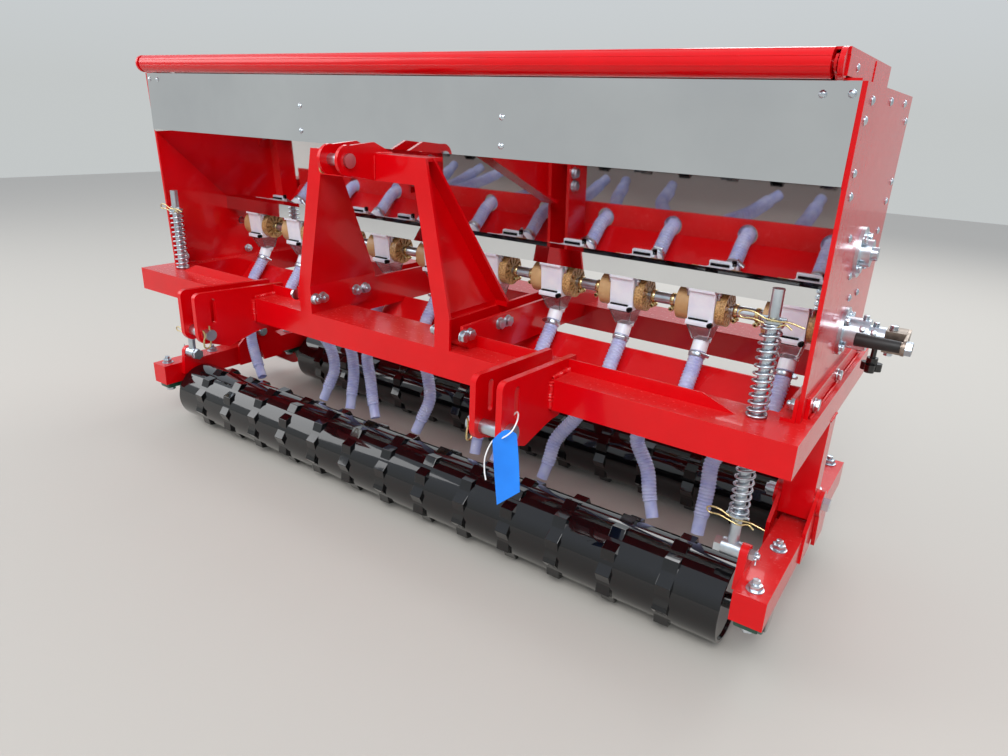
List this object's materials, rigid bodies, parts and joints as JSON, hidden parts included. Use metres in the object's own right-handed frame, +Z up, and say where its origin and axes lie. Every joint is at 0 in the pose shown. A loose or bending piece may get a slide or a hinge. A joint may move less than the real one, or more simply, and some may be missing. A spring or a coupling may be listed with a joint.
{
  "type": "seed drill",
  "caption": "Hitch-mounted grass seed drill with a stainless hopper, lidded top, seed meters, hoses and two lugged rollers.",
  "frame": {"origin": "centre of the footprint, on the ground under the roller lugs", "axes": "+Z up; -Y towards the hitch; +X towards the end with the seed-rate crank"},
  "size_m": [1.665, 0.674, 0.8592],
  "materials": {
    "red_enamel": "gloss",
    "black_enamel": "gloss",
    "green_enamel": "gloss",
    "stainless": "mirror",
    "zinc": "zinc plated",
    "white_nylon": "satin",
    "tan_plastic": "satin",
    "smoky_plastic": "gloss",
    "black_plastic": "satin",
    "hose_plastic": "gloss"
  },
  "bodies": {
    "drill": {"frame": "red_enamel", "hose_guide": "red_enamel", "rails": "red_enamel", "mast": "red_enamel", "lower_hitch": "red_enamel", "lower_pins": "zinc", "top_pin": "zinc", "side_plates": "red_enamel", "hopper": "stainless", "lid_hinges": "red_enamel", "meter_housings": "white_nylon", "meter_funnels": "smoky_plastic", "meter_spouts": "white_nylon", "shaft_flanges": "zinc", "rate_hub": "zinc", "rate_crank": "black_plastic", "rate_knob": "black_plastic", "drive_case": "red_enamel", "drive_mounts": "red_enamel", "front_arms": "red_enamel", "rear_arms": "red_enamel", "arm_pivots": "zinc", "boss_bolts": "zinc", "bearing_blocks": "green_enamel", "spring_rods": "zinc", "springs": "zinc", "hose_1": "hose_plastic", "hose_2": "hose_plastic", "hose_3": "hose_plastic", "hose_4": "hose_plastic", "hose_5": "hose_plastic", "hose_6": "hose_plastic", "hose_7": "hose_plastic", "hose_8": "hose_plastic", "hose_9": "hose_plastic", "hose_10": "hose_plastic"},
    "hopper_lid": {"lid": "red_enamel"},
    "front_roller_body": {"front_roller": "black_enamel"},
    "rear_roller_body": {"rear_roller": "black_enamel"},
    "meter_rotor": {"metering_shaft": "zinc", "shaft_couplers": "zinc", "meter_drums": "tan_plastic", "meter_discs": "tan_plastic"},
    "agitator_rotor": {"agitator": "zinc"}
  },
  "joints": [
    {"name": "lid_hinge", "type": "hinge", "parent": "drill", "child": "hopper_lid", "pos_m": [0, -0.159, 0.8423], "axis": [1, 0, 0], "range_deg": [0, 95]},
    {"name": "front_roller_spin", "type": "hinge", "parent": "drill", "child": "front_roller_body", "pos_m": [0, -0.1205, 0.076], "axis": [1, 0, 0], "continuous": true},
    {"name": "rear_roller_spin", "type": "hinge", "parent": "drill", "child": "rear_roller_body", "pos_m": [0, 0.2505, 0.076], "axis": [1, 0, 0], "continuous": true},
    {"name": "metering_spin", "type": "hinge", "parent": "drill", "child": "meter_rotor", "pos_m": [0, 0.065, 0.485], "axis": [1, 0, 0], "continuous": true},
    {"name": "agitator_spin", "type": "hinge", "parent": "drill", "child": "agitator_rotor", "pos_m": [0, 0.065, 0.605], "axis": [1, 0, 0], "continuous": true}
  ],
  "couplings": [
    {"joint": "metering_spin", "follows": "rear_roller_spin", "ratio": 0.5},
    {"joint": "agitator_spin", "follows": "rear_roller_spin", "ratio": 0.5}
  ]
}
